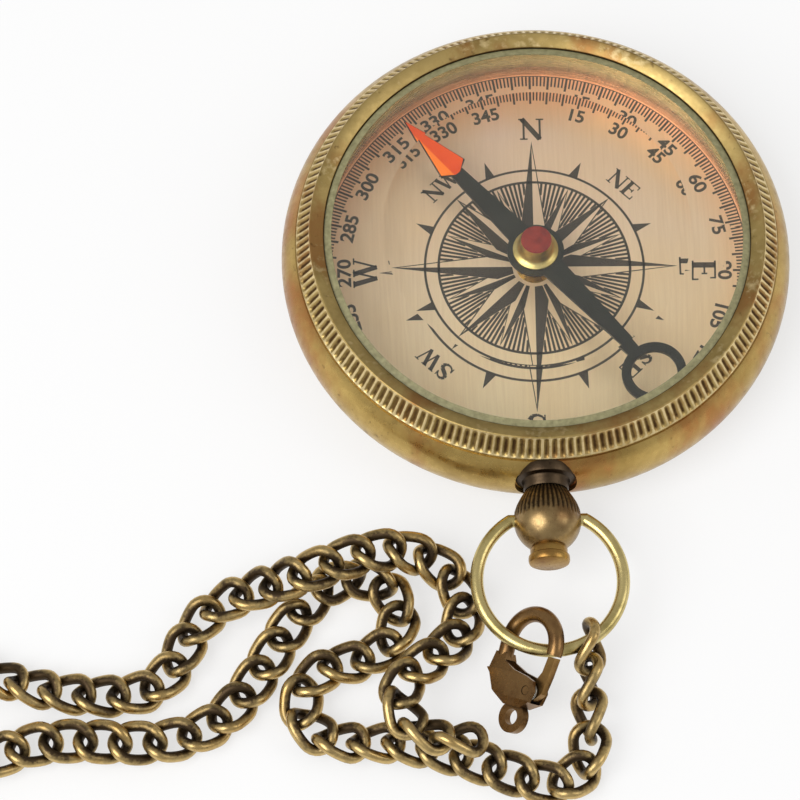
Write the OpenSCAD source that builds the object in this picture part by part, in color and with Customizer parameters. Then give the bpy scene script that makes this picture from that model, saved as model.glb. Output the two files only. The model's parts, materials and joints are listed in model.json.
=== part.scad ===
// Pocket compass: glazed brass case, needle on a pivot, pendant with a bow,
// and a curb chain clipped to the bow with a lobster clasp.
// Z is up out of the dial, the pendant points to -Y, and the origin is the
// centre of the case's flat back, which rests on the table.

/* [Case] */
// Diameter over the belly of the case
case_d = 50; // [46:0.5:54]
// Height of the belly's widest line above the back
belly_z = 4.5; // [4:0.1:5]
// Radius of the belly's rounded side
belly_r = 5; // [4.7:0.1:5.6]
// Height of the case's rim, where the bezel sits
rim_z = 8; // [7.6:0.1:8.6]
// Thickness of the case's back
back_t = 0.8; // [0.6:0.1:1]
// Thickness of the case's side at the rim
wall_t = 2.65; // [2.3:0.05:2.8]

/* [Bezel] */
// Width of the knurled slope of the bezel, seen from above
knurl_w = 1.4; // [1:0.1:1.7]
// Height of the bezel's top edge above the rim
bezel_h = 2.25; // [2.1:0.05:2.8]
// Number of notches round the coin edge
notch_n = 150; // [90:10:180]
// Depth of one notch
notch_depth = 0.22; // [0.1:0.02:0.3]

/* [Glass] */
// Width of the bezel's sloping face, between the knurl and the glass
face_w = 1.35; // [1.1:0.05:1.6]
// Width of the bevel round the glass
bevel_w = 5.8; // [5:0.1:7]
// Thickness of the glass at its flat top
glass_t = 2.45; // [2:0.05:2.8]
// Thickness of the glass at its rim
glass_rim_t = 1; // [0.8:0.05:1.1]
// Thickness of the gasket under the glass
gasket_t = 0.4; // [0.3:0.05:0.6]

/* [Dial] */
// Thickness of the dial plate
dial_t = 0.4; // [0.3:0.05:0.6]
// Wall of the spacer ring that stands on the dial's edge
spacer_wall = 0.5; // [0.4:0.05:0.7]

/* [Needle] */
// Gap between the arrow's tip and the spacer ring
tip_gap = 1.67; // [1:0.1:3]
// Length of the arrow head
arrow_l = 7.4; // [6:0.1:9]
// Width of the arrow head
arrow_w = 3.1; // [2.4:0.1:3.6]
// Width of the needle's bar at the hub
bar_w = 2.6; // [2:0.1:3]
// Width of the needle's bar at its ends
bar_end_w = 1.3; // [1:0.1:1.6]
// Outer diameter of the ring on the tail
tail_d = 6.2; // [5:0.1:6.6]
// Gap between the tail ring and the spacer ring
tail_gap = 0.77; // [0.6:0.1:2]
// Height of the needle's underside
needle_z = 4.55; // [4.2:0.05:4.8]
// Thickness of the needle's sheet
needle_t = 0.3; // [0.2:0.05:0.4]
// Direction of the tip from +X, anticlockwise
needle_a = 130; // [0:1:359]
// Diameter of the hub's turned cup
hub_d = 3; // [2.8:0.1:3.4]
// Height of the hub's cup above the needle
hub_h = 2.3; // [2:0.1:2.6]
// Diameter of the pivot pin
pin_d = 1; // [0.8:0.05:1.2]

/* [Pendant] */
// Distance from the case's side to the middle of the ball
ball_gap = 3.5; // [3.3:0.1:4]
// Diameter of the ball
ball_d = 6.4; // [6:0.1:6.8]
// Height of the ball's middle above the table
ball_z = 5.5; // [5.2:0.1:5.6]
// Diameter of the collar against the case
collar_d = 5.8; // [5:0.1:6]
// Diameter of the stem through the collar
stem_d = 2.4; // [2:0.1:2.8]
// Diameter of the button on the ball's end
button_d = 3.9; // [3.4:0.1:4.2]
// Number of flutes on the ball's upper half
flute_n = 18; // [12:1:24]

/* [Bow] */
// Outer diameter of the bow
bow_d = 15; // [14.6:0.1:15.4]
// Diameter of the bow's wire
bow_wire_d = 1.25; // [1.1:0.05:1.35]
// Distance from the ball's middle to the bow's middle
bow_off = 5.9; // [5.7:0.1:6.1]
// Radial play of the bow's pin in the ball
bow_play = 0.06; // [0.03:0.01:0.09]
// Slope of the resting bow, below level
bow_rest_a = 3; // [2:0.5:4]

/* [Chain] */
// Diameter of the chain's wire
chain_wire_d = 0.92; // [0.8:0.02:0.94]
// Length of a link along its middle line
link_l = 4.7; // [4.6:0.05:4.8]
// Width of a link along its middle line
link_w = 3.3; // [3.2:0.05:3.4]
// Twist of a link from end to end
link_twist = 90; // [86:1:94]
// Step from link to link
link_step = 3.24; // [3.2:0.02:3.28]

/* [Clasp] */
// Outer width of the claw
claw_w = 7.3; // [7:0.1:7.6]
// Diameter of the claw's round arm
claw_arm_d = 1.5; // [1.3:0.05:1.6]
// Thickness of the clasp's body
clasp_t = 2.2; // [1.9:0.1:2.4]
// Roll of the clasp, its gate side up
clasp_roll = 44; // [42:1:48]
// Slope of the clasp, its tail down
clasp_slope = 20; // [16:1:24]
// Turn of the clasp to the left, seen from above
clasp_turn = 16; // [12:1:20]
// Place of the clasp along the bow, from the bow's middle
clasp_x = -2; // [-2.4:0.1:-1.6]

/* [Hidden] */

fit = 0.05;         // radial clearance of a seated round piece

case_r = case_d / 2;
barrel_r = case_r - belly_r;
rim_r = barrel_r + sqrt(pow(belly_r, 2) - pow(rim_z - belly_z, 2));
bore_r = rim_r - wall_t;
knurl_r = rim_r - 0.12;
bezel_top_r = knurl_r - knurl_w;
bezel_top_z = rim_z + bezel_h;
sight_r = bezel_top_r - face_w;     // radius of the glass left in sight
flat_r = sight_r - bevel_w;         // radius of its flat top

gasket_z = rim_z;
glass_z = gasket_z + gasket_t;
glass_rim_r = sight_r + 0.6;
lip_z = glass_z + glass_rim_t + fit;
lip_t = 0.2;

dial_z = back_t;
dial_top = dial_z + dial_t;
spacer_r = bore_r - fit;
dial_r = bore_r - fit;
tip_r = spacer_r - spacer_wall - tip_gap;
tail_r = spacer_r - spacer_wall - tail_gap - tail_d / 2;

boss_d = 3.6;
boss_h = 0.5;
pin_tip_z = needle_z + needle_t + hub_h * 0.55;
hub_top_z = needle_z + needle_t + hub_h;
flange_d = 4.5;
flange_t = 0.3;

ball_y = case_r + ball_gap;
case_side_r = barrel_r + sqrt(pow(belly_r, 2) - pow(ball_z - belly_z, 2));
collar_in = case_side_r - 0.6;
collar_out = ball_y - ball_d / 2 + 0.55;
stem_in = bore_r + fit;
button_top = ball_y + ball_d / 2 - 0.3;
button_h = 1.55;

bow_r = (bow_d - bow_wire_d) / 2;
bow_pin_d = bow_wire_d - 0.05;

// ---------------------------------------------------------------- case

// Side view of the case: the rounded belly standing on the flat back
module case_profile() {
    intersection() {
        union() {
            translate([barrel_r, belly_z]) circle(r = belly_r, $fn = 96);
            square([barrel_r, rim_z]);
        }
        square([case_r + 1, rim_z]);
    }
}

module case_body() color("darkgoldenrod") difference() {
    rotate_extrude($fn = 180) case_profile();
    translate([0, 0, back_t]) cylinder(h = rim_z, r = bore_r, $fn = 180);
    pendant_hole();
}

// Round hole through the case's side for the stem and the collar's seat
module pendant_hole() {
    translate([0, -bore_r + 1, ball_z]) rotate([90, 0, 0])
        cylinder(h = case_r, d = stem_d + 2 * fit, $fn = 48);
    translate([0, -collar_in, ball_z]) rotate([90, 0, 0])
        cylinder(h = case_r, d = collar_d + 2 * fit, $fn = 64);
}

module spacer_ring() color("darkkhaki") translate([0, 0, dial_top]) difference() {
    cylinder(h = rim_z - dial_top, r = spacer_r, $fn = 180);
    translate([0, 0, -1]) cylinder(h = rim_z + 2, r = spacer_r - spacer_wall, $fn = 180);
}

module dial_plate() color("burlywood") translate([0, 0, dial_z]) difference() {
    cylinder(h = dial_t, r = dial_r, $fn = 180);
    translate([0, 0, -1]) cylinder(h = dial_t + 2, d = pin_d + 2 * fit, $fn = 48);
}

module bezel() color("goldenrod") difference() {
    rotate_extrude($fn = 180) polygon([
        [sight_r, lip_z], [glass_rim_r + fit, lip_z], [glass_rim_r + fit, rim_z],
        [knurl_r, rim_z], [knurl_r, rim_z + 0.3], [bezel_top_r, bezel_top_z],
        [sight_r, lip_z + lip_t]]);
    coin_edge();
}

// Notches of the coin edge, each a square bar laid edge down along the slope
module coin_edge() {
    slope_h = bezel_h - 0.3;
    slope_l = norm([knurl_w, slope_h]);
    slope_a = atan2(slope_h, knurl_w);
    notch_side = notch_depth * sqrt(2);
    for (i = [0 : notch_n - 1]) rotate([0, 0, 360 / notch_n * (i + 0.5)])
        translate([knurl_r, 0, rim_z + 0.3]) rotate([0, slope_a - 180, 0])
            translate([slope_l / 2, 0, 0])
                rotate([45, 0, 0]) cube([slope_l * 0.8, notch_side, notch_side], center = true);
}

module crystal_gasket() color("dimgray") translate([0, 0, gasket_z]) difference() {
    cylinder(h = gasket_t, r = glass_rim_r - fit, $fn = 180);
    translate([0, 0, -1]) cylinder(h = gasket_t + 2, r = spacer_r - spacer_wall, $fn = 180);
}

module crystal() color("lightcyan", 0.4) rotate_extrude($fn = 180) polygon([
    [0, glass_z], [glass_rim_r - fit, glass_z], [glass_rim_r - fit, glass_z + glass_rim_t],
    [sight_r - fit, glass_z + glass_rim_t], [flat_r, glass_z + glass_t],
    [0, glass_z + glass_t]]);

// -------------------------------------------------------------- needle

module pivot_base() color("goldenrod") translate([0, 0, dial_top]) difference() {
    cylinder(h = boss_h, d1 = boss_d, d2 = boss_d - 0.6, $fn = 64);
    translate([0, 0, -1]) cylinder(h = boss_h + 2, d = pin_d + 2 * fit, $fn = 48);
}

// Pin pressed into the back, ground to a point under the needle's hub
module pivot_pin() color("silver") {
    point_h = 1.2;
    translate([0, 0, back_t]) cylinder(h = pin_tip_z - point_h - back_t, d = pin_d, $fn = 48);
    translate([0, 0, pin_tip_z - point_h]) cylinder(h = point_h, d1 = pin_d, d2 = 0.1, $fn = 48);
}

// Flat outline of the needle, tip to +X and tail ring to -X
module needle_outline() {
    head_x = tip_r - arrow_l;
    difference() {
        union() {
            polygon([[tip_r, 0], [head_x + 0.9, arrow_w / 2], [head_x, 0], [head_x + 0.9, -arrow_w / 2]]);
            polygon([[head_x + 1.4, bar_end_w / 2], [0, bar_w / 2], [-tail_r + tail_d / 2, bar_end_w / 2],
                [-tail_r + tail_d / 2 - 0.6, 0],
                [-tail_r + tail_d / 2, -bar_end_w / 2], [0, -bar_w / 2], [head_x + 1.4, -bar_end_w / 2]]);
            translate([-tail_r, 0]) circle(d = tail_d, $fn = 96);
            circle(d = flange_d + 1.1, $fn = 96);
        }
        translate([-tail_r, 0]) circle(d = tail_d - 1.8, $fn = 96);
        circle(d = hub_d + 2 * fit, $fn = 64);
    }
}

module needle_blade() color("dimgray") rotate([0, 0, needle_a]) translate([0, 0, needle_z])
    linear_extrude(height = needle_t) needle_outline();

// Turned cup that rides on the pin's point, with a cone inside it
module needle_hub() color("gold") difference() {
    union() {
        translate([0, 0, needle_z - 0.5]) cylinder(h = hub_top_z - needle_z + 0.5 - 0.35, d = hub_d, $fn = 64);
        translate([0, 0, needle_z + needle_t]) cylinder(h = flange_t, d = flange_d, $fn = 64);
    }
    translate([0, 0, needle_z - 1.5]) cylinder(h = pin_tip_z - needle_z + 0.3 + 2 * fit, d = pin_d + 0.5, $fn = 48);
    translate([0, 0, pin_tip_z - 1.2 + fit]) cylinder(h = 1.2, d1 = pin_d + 0.5, d2 = 0.1, $fn = 48);
}

module hub_jewel() color("firebrick")
    translate([0, 0, hub_top_z - 0.35]) cylinder(h = 0.35, d1 = hub_d, d2 = hub_d - 0.3, $fn = 64);

// ------------------------------------------------------------- pendant

// Lays a piece that is drawn up along +Z out along -Y at the ball's height
module along_pendant() translate([0, 0, ball_z]) rotate([90, 0, 0]) children();

module pendant_collar() color("saddlebrown") difference() {
    along_pendant() translate([0, 0, collar_in]) cylinder(h = collar_out - collar_in, d = collar_d, $fn = 64);
    along_pendant() cylinder(h = ball_y, d = stem_d + 2 * fit, $fn = 48);
    along_pendant() translate([0, 0, ball_y]) sphere(d = ball_d + 2 * fit, $fn = 64);
}

module pendant_stem() color("peru")
    along_pendant() translate([0, 0, stem_in]) cylinder(h = ball_y - bow_wire_d - stem_in, d = stem_d, $fn = 48);

module pendant_ball() color("saddlebrown") difference() {
    along_pendant() translate([0, 0, ball_y]) sphere(d = ball_d, $fn = 96);
    along_pendant() cylinder(h = ball_y - bow_wire_d + fit, d = stem_d + 2 * fit, $fn = 48);
    translate([0, -ball_y, ball_z]) rotate([0, 90, 0])
        cylinder(h = ball_d + 2, d = bow_pin_d + 2 * bow_play, center = true, $fn = 48);
    along_pendant() translate([0, 0, button_top]) cylinder(h = ball_d, d = button_d - 0.9 + 2 * fit, $fn = 64);
    for (i = [0 : flute_n - 1]) along_pendant() rotate([0, 0, 360 / flute_n * (i + 0.5)])
        translate([ball_d / 2 + 0.05, 0, ball_y - ball_d / 2])
            cylinder(h = ball_d / 2 - 0.9, d = 0.6, $fn = 24);
}

module pendant_button() color("darkgoldenrod") along_pendant() {
    translate([0, 0, button_top]) cylinder(h = 0.8, d = button_d - 0.9, $fn = 64);
    translate([0, 0, button_top + 0.5]) cylinder(h = 0.25, d1 = button_d - 0.5, d2 = button_d, $fn = 64);
    translate([0, 0, button_top + 0.75]) cylinder(h = button_h - 1.1, d = button_d, $fn = 64);
    translate([0, 0, button_top + button_h - 0.35]) cylinder(h = 0.25, d1 = button_d, d2 = button_d - 0.5, $fn = 64);
}

// Wire ring whose two ends turn in and meet as a pin through the ball
module bow_ring() color("gold") translate([0, -ball_y, ball_z]) rotate([bow_rest_a, 0, 0]) {
    gap_a = acos(bow_off / bow_r);
    translate([0, -bow_off, 0]) rotate([0, 0, 90 + gap_a])
        rotate_extrude(angle = 360 - 2 * gap_a, $fn = 128)
            translate([bow_r, 0]) circle(d = bow_wire_d, $fn = 32);
    rotate([0, 90, 0]) cylinder(h = 2 * bow_r * sin(gap_a) + 0.5, d = bow_pin_d, center = true, $fn = 32);
}

// --------------------------------------------------------------- chain

// Rings and sides of one link's wire
link_rings = 16;
wire_sides = 6;

// Half height of a link's middle line when it lies flat, and what standing
// it on its edge adds
link_flat = 0.86;
link_edge = 1.4;

// The chain's route from the bow round the table and back to the clasp: x,
// y from the ball's middle, height of the links' underside, roll about the route
chain_route = [
    [3.6, -11, 3.3, -62], [3.4, -14.7, 1.2, -86], [3.2, -18.2, 0, -118], [3.3, -21.2, 0, -150],
    [2.4, -23.8, 0, -174], [-0.2, -24.9, 0, -196], [-3.2, -23.9, 0, -196], [-8, -21.9, 0, -184],
    [-14, -20.4, 0, -165], [-19, -20.3, 0, -155], [-22.4, -19.4, 0, -162], [-23.9, -16.7, 0, -175],
    [-22.8, -13.7, 0, -188], [-20, -12.3, 0, -188], [-16.8, -11.9, 0, -180], [-14.3, -9.7, 0, -188],
    [-14.3, -6.3, 0, -206], [-17, -3.9, 0, -220], [-20.8, -4.5, 0, -220], [-23.6, -7.3, 0, -205],
    [-26, -10.9, 0, -192], [-28.2, -14.5, 0, -188], [-31, -17.7, 0, -185], [-34.6, -19.5, 0.1, -190],
    [-39, -19.9, 0.3, -198], [-44, -19.5, 0.3, -198], [-49, -19.7, 0.2, -190], [-52.6, -21.1, 0, -180],
    [-56.6, -21.9, 0, -185], [-60, -20.1, 0, -200], [-61.4, -16.5, 0, -212], [-59.8, -12.9, 0, -222],
    [-55.8, -11.7, 0, -222], [-51, -13.5, 0, -210], [-46, -14.7, 0, -198], [-41, -15.1, 0, -185],
    [-37.4, -14.5, 0, -180], [-35, -11.9, 0, -185], [-33.6, -8.5, 0, -190], [-31, -6.1, 0.2, -192],
    [-27.2, -5.3, 2, -180], [-23.4, -4.9, 4, -172], [-19.4, -3.7, 4.4, -168], [-15.4, -2.3, 3.5, -170],
    [-11.6, -2.4, 1.6, -176], [-8.8, -4.4, 0.5, -186], [-7.8, -7.9, 0.2, -190], [-9, -10.9, 0.8, -185],
    [-11.4, -12.7, 1.6, -185], [-13.8, -14.7, 2.2, -192], [-14.6, -17.8, 2.5, -206], [-12.4, -20.5, 2.6, -220],
    [-8.6, -21.1, 2.5, -228], [-6.2, -20.4, 1.5, -214], [-3.2, -18.1, 0.9, -200]];

// Route through the links' middles, raised so that a rolled link stands clear
link_route = [for (p = chain_route) [p.x, p.y - ball_y,
    p.z + chain_wire_d / 2 + link_flat * abs(cos(p[3])) + link_edge * abs(sin(p[3])), p[3]]];

// Smooth curve through points a, b, c, d at t between b and c
function smooth(a, b, c, d, t) =
    (2 * b + (c - a) * t + (2 * a - 5 * b + 4 * c - d) * t * t + (3 * b - a - 3 * c + d) * t * t * t) / 2;

// Curve points, eight to a stretch
route_last = len(link_route) - 1;
curve = [for (i = [0 : route_last - 1], k = [0 : 7])
    smooth(link_route[max(i - 1, 0)], link_route[i], link_route[i + 1],
        link_route[min(i + 2, route_last)], k / 8), link_route[route_last]];
function place(v) = [v.x, v.y, v.z];
curve_s = [for (i = 0, s = 0; i < len(curve);
    s = s + (i + 1 < len(curve) ? norm(place(curve[i + 1]) - place(curve[i])) : 0), i = i + 1) s];
curve_table = [for (c = [0 : 3]) [for (i = [0 : len(curve) - 1]) [curve_s[i], curve[i][c]]]];

// Point on the curve where link n starts
function joint(n) = [for (c = [0 : 3]) lookup(n * link_step, curve_table[c])];
link_n = floor(curve_s[len(curve) - 1] / link_step);

// Point i of a link's middle line, a long loop twisted about its length
function loop_point(i) = let (
    half = link_rings / 2, j = i % half, side = i < half ? 1 : -1,
    straight = (link_l - link_w) / 2, last = half - 3,
    x = j <= last ? straight + link_w / 2 * cos(-90 + 180 / last * j) : straight * (1 - 2 * (j - last) / 3),
    y = j <= last ? link_w / 2 * sin(-90 + 180 / last * j) : link_w / 2,
    turn = link_twist * side * x / link_l)
    [side * x, side * y * cos(turn), side * y * sin(turn)];

// Ring of points round the wire at point i
function wire_ring(i) = let (
    p = loop_point((i + link_rings) % link_rings),
    ahead = loop_point((i + 1) % link_rings) - loop_point((i + link_rings - 1) % link_rings),
    along = ahead / norm(ahead),
    side = cross(along, cross(p, along)), out = side / norm(side), up = cross(along, out))
    [for (k = [0 : wire_sides - 1]) let (a = 360 / wire_sides * k)
        p + chain_wire_d / 2 * (cos(a) * out + sin(a) * up)];

module link() polyhedron(
    points = [for (i = [0 : link_rings - 1]) each wire_ring(i)],
    faces = [for (i = [0 : link_rings - 1], k = [0 : wire_sides - 1])
        let (a = i * wire_sides, b = (i + 1) % link_rings * wire_sides, m = (k + 1) % wire_sides)
        each [[a + k, b + k, b + m], [a + k, b + m, a + m]]]);

// Links from number first to number last, each turned along the route
module chain(first, last) for (n = [first : last]) {
    from = joint(n);
    to = joint(n + 1);
    step = place(to) - place(from);
    translate((place(from) + place(to)) / 2)
        rotate([0, 0, atan2(step.y, step.x)])
            rotate([0, -asin(step.z / norm(step)), 0])
                rotate([(from[3] + to[3]) / 2, 0, 0]) link();
}

// Each stretch of the chain: name, first link, last link
stretches = [
    ["chain_drop", 0, 2], ["chain_corner", 3, 5], ["chain_front_run", 6, 10],
    ["chain_pile_turn", 11, 14], ["chain_pile_loop", 15, 20], ["chain_diagonal", 21, 24],
    ["chain_lower_run", 25, 30], ["chain_far_turn", 31, 37], ["chain_upper_run", 38, 42],
    ["chain_rise", 43, 46], ["chain_hump", 47, 51], ["chain_right_loop", 52, 59],
    ["chain_clasp_run", 60, 63]];

// --------------------------------------------------------------- clasp

claw_r = (claw_w - claw_arm_d) / 2;
claw_out = claw_w / 2;
claw_in = claw_r - claw_arm_d / 2;
arch_l = 0.3;       // from the bow's wire up to the middle of the claw's arch
body_l = 2.6;       // from the bow's wire down to the body's shoulders
body_full = 2.2;    // from there down, where the body keeps its full thickness
body_end = 5.6;     // and to the body's end
tail_l = 6.6;       // and to the tail's eye
eye_d = 3;
eye_hole_d = 1.5;
eye_t = 0.8;
slot_t = 1.4;
lever_t = 0.8;
gate_pin_d = 0.8;
gate_wire_d = 0.3;
pivot_at = [1.5, -3.9];

// Middle of the bow's wire where it lies x to the side
function bow_point(x) = let (reach = bow_off + sqrt(pow(bow_r, 2) - pow(x, 2)))
    [x, -ball_y - reach * cos(bow_rest_a), ball_z - reach * sin(bow_rest_a)];

// Places the clasp on the bow's wire; drawn with X across the claw,
// Y from tail to arch and Z through its thickness
module on_bow() translate(bow_point(clasp_x))
    rotate([clasp_slope, 0, 0]) rotate([0, 0, -clasp_turn]) rotate([0, -clasp_roll, 0]) children();

module clasp_outline() polygon([
    [-claw_out + 0.1, -1], [-claw_in - 0.1, -1], [-claw_in + 0.1, -body_l + 0.9],
    [-0.6, -body_l + 0.3], [1.2, -body_l], [claw_in, -body_l - 0.3], [claw_in + 0.3, -body_l - 1.2],
    [claw_in, -body_end + 0.7], [1, -body_end], [-1, -body_end],
    [-claw_in - 0.4, -body_end + 1], [-claw_out + 0.1, -body_l - 0.2]]);

// The body seen from its side: full at the pivot, thinner at the arm and tail
module clasp_side() rotate([90, 0, 90]) linear_extrude(height = 2 * claw_w, center = true) {
    half = clasp_t / 2;
    polygon([[-1, 0.6 * half], [-body_l, half], [-body_l - body_full, half],
        [-body_end - 0.4, 0.6 * half], [-body_end - 0.4, -0.6 * half], [-body_l - body_full, -half],
        [-body_l, -half], [-1, -0.6 * half]]);
}

// Slot right through the body for the gate's lever and its swing
module lever_slot() translate([0, 0, -slot_t / 2]) linear_extrude(height = slot_t) polygon([
    [-claw_w, -body_end - 0.6], [-2.2, -body_end + 0.3], [0.6, -body_end + 0.55], [claw_w, -body_end + 1],
    [claw_w, -body_l + 1], [-claw_w, -body_l + 1]]);

module clasp_body() color("saddlebrown") on_bow() difference() {
    union() {
        translate([0, arch_l, 0]) rotate([0, 0, -8]) rotate_extrude(angle = 188, $fn = 96)
            translate([claw_r, 0]) circle(d = claw_arm_d, $fn = 32);
        translate([-claw_r, -1.6, 0]) rotate([-90, 0, 0]) cylinder(h = 1.6 + arch_l, d = claw_arm_d, $fn = 32);
        intersection() {
            translate([0, 0, -clasp_t / 2]) linear_extrude(height = clasp_t) clasp_outline();
            clasp_side();
        }
        translate([0, -tail_l, 0]) cylinder(h = eye_t, d = eye_d, center = true, $fn = 48);
    }
    translate([0, -tail_l, 0]) cylinder(h = clasp_t, d = eye_hole_d, center = true, $fn = 48);
    lever_slot();
    translate([pivot_at.x, pivot_at.y, 0])
        cylinder(h = clasp_t + 1, d = gate_pin_d + 2 * fit, center = true, $fn = 32);
}

// Gate that closes the claw, and the thumb tab at its other end
module clasp_lever() color("darkgoldenrod") on_bow() translate([0, 0, 0.1 - slot_t / 2]) difference() {
    linear_extrude(height = lever_t) polygon([
        [claw_r - 0.45, arch_l - 0.65], [claw_r + 0.4, arch_l - 0.65], [claw_r + 0.15, -body_l + 0.4],
        [claw_r - 0.2, pivot_at.y], [pivot_at.x + 0.4, pivot_at.y - 0.8], [pivot_at.x - 1.1, pivot_at.y - 0.6],
        [-claw_out - 0.25, pivot_at.y + 0.5], [-claw_out - 1, pivot_at.y + 1.2],
        [-claw_out - 0.25, pivot_at.y + 1.4], [pivot_at.x - 1.1, pivot_at.y + 0.7],
        [pivot_at.x + 0.1, pivot_at.y + 1], [claw_in + 0.05, -body_l + 0.7]]);
    translate([pivot_at.x, pivot_at.y, -1]) cylinder(h = lever_t + 2, d = gate_pin_d + 2 * fit, $fn = 32);
}

module clasp_pin() color("darkgoldenrod") on_bow()
    translate([pivot_at.x, pivot_at.y, 0]) cylinder(h = clasp_t - 0.1, d = gate_pin_d, center = true, $fn = 32);

// Wire spring round the pin beside the lever, one leg down against the body
module clasp_spring() color("silver") on_bow()
    translate([pivot_at.x, pivot_at.y, slot_t / 2 - 0.1 - gate_wire_d / 2]) {
        coil_r = gate_pin_d / 2 + 0.2 + gate_wire_d / 2;
        rotate([0, 0, 200]) rotate_extrude(angle = 330, $fn = 48)
            translate([coil_r, 0]) circle(d = gate_wire_d, $fn = 16);
        translate([-coil_r, 0, 0]) rotate([90, 0, 0]) cylinder(h = 0.9, d = gate_wire_d, $fn = 16);
    }

case_body();
bezel();
crystal();
crystal_gasket();
spacer_ring();
dial_plate();
pivot_base();
pivot_pin();
needle_blade();
needle_hub();
hub_jewel();
pendant_collar();
pendant_stem();
pendant_ball();
pendant_button();
bow_ring();
for (s = stretches)
    color("olive") chain(s[1], s[2]);
clasp_body();
clasp_lever();
clasp_pin();
clasp_spring();
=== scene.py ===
import json
import math

import bmesh
import bpy
import numpy as np
from mathutils import Matrix, Vector

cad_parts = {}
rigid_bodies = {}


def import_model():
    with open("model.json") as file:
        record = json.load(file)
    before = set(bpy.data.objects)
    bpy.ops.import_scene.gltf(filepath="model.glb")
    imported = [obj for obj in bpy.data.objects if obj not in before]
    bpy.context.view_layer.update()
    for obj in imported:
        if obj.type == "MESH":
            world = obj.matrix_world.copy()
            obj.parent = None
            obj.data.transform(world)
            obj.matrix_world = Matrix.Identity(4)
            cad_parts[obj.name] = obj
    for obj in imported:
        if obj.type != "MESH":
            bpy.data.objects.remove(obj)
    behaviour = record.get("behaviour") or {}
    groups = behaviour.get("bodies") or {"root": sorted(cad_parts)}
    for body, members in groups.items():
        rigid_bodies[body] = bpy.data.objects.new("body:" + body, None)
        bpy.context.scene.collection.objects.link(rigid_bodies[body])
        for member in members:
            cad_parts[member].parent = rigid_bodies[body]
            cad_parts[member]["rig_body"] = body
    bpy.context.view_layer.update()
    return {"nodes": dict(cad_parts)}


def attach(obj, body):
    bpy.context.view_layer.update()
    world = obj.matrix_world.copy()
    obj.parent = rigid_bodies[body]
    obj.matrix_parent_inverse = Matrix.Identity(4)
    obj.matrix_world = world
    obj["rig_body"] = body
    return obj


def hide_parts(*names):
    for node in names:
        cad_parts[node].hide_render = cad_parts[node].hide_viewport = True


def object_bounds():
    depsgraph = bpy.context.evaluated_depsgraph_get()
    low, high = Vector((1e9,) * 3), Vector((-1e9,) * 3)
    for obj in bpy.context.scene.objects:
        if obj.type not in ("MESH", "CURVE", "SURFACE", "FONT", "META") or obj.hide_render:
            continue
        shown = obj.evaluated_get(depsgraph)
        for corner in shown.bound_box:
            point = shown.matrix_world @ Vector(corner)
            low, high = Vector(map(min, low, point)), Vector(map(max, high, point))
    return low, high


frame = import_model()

# ---------------------------------------------------------------- case body
# The belly of the case is spun brass with a soldered flat back. It was toned
# brown all over and rubbed back by hand, so it is golden where it is handled
# and keeps brown and rosy patches, with fine scratches and a few dark specks.
mm = 0.001


def colour(code):
    """A colour as a paint card gives it, six letters and figures, as linear light."""
    parts = [int(code[i : i + 2], 16) / 255 for i in (0, 2, 4)]
    return (*[p / 12.92 if p <= 0.04045 else ((p + 0.055) / 1.055) ** 2.4 for p in parts], 1)


def lay(material, kind, inputs=(), **settings):
    """Puts one node in a material. An input is a value, or the socket that feeds it."""
    n = material.node_tree.nodes.new("ShaderNode" + kind)
    for key, value in settings.items():
        setattr(n, key, value)
    for key, value in dict(inputs).items():
        if isinstance(value, bpy.types.NodeSocket):
            material.node_tree.links.new(value, n.inputs[key])
        else:
            n.inputs[key].default_value = value
    return n


def blank(name):
    """A material with nothing in it but its output."""
    m = bpy.data.materials.new(name)
    m.use_nodes = True
    m.node_tree.nodes.clear()
    return m, lay(m, "OutputMaterial").inputs["Surface"]


def place_on(m):
    """Where a point lies on its piece, so that patterns move with the piece."""
    return lay(m, "TexCoord").outputs["Object"]


def spread(m, value, low, high, to=(0, 1)):
    """The part of a value between low and high, drawn out to a new range."""
    return lay(m, "MapRange", {"Value": value, "From Min": low, "From Max": high,
                               "To Min": to[0], "To Max": to[1]}).outputs["Result"]


def blot(m, where, size, detail=4, stretch=(1, 1, 1)):
    """Cloudy patches about as wide as size, in metres."""
    place = lay(m, "Mapping", {"Vector": where, "Scale": stretch}).outputs["Vector"]
    return lay(m, "TexNoise", {"Vector": place, "Scale": 1 / size, "Detail": detail,
                               "Roughness": 0.6}).outputs["Fac"]


def tint(m, share, first, second):
    """The first colour, with that share of the second over it."""
    return lay(m, "MixRGB", {"Fac": share, "Color1": first, "Color2": second}).outputs["Color"]


def reckon(m, operation, first, second):
    """Two values put together by a sum, a product and so on."""
    return lay(m, "Math", {0: first, 1: second}, operation=operation).outputs[0]


def relief(m, height, strength, depth, **under):
    """Bumps that follow a pattern, to that depth in metres."""
    return lay(m, "Bump", {"Height": height, "Strength": strength, "Distance": depth,
                           **under}).outputs["Normal"]


def skin(m, surface, shade, rough, bumps, **more):
    """Joins a colour, a roughness and bumps into the finished surface."""
    shader = lay(m, "BsdfPrincipled", {"Base Color": shade, "Roughness": rough, "Normal": bumps,
                                       **more})
    m.node_tree.links.new(shader.outputs["BSDF"], surface)


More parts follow.
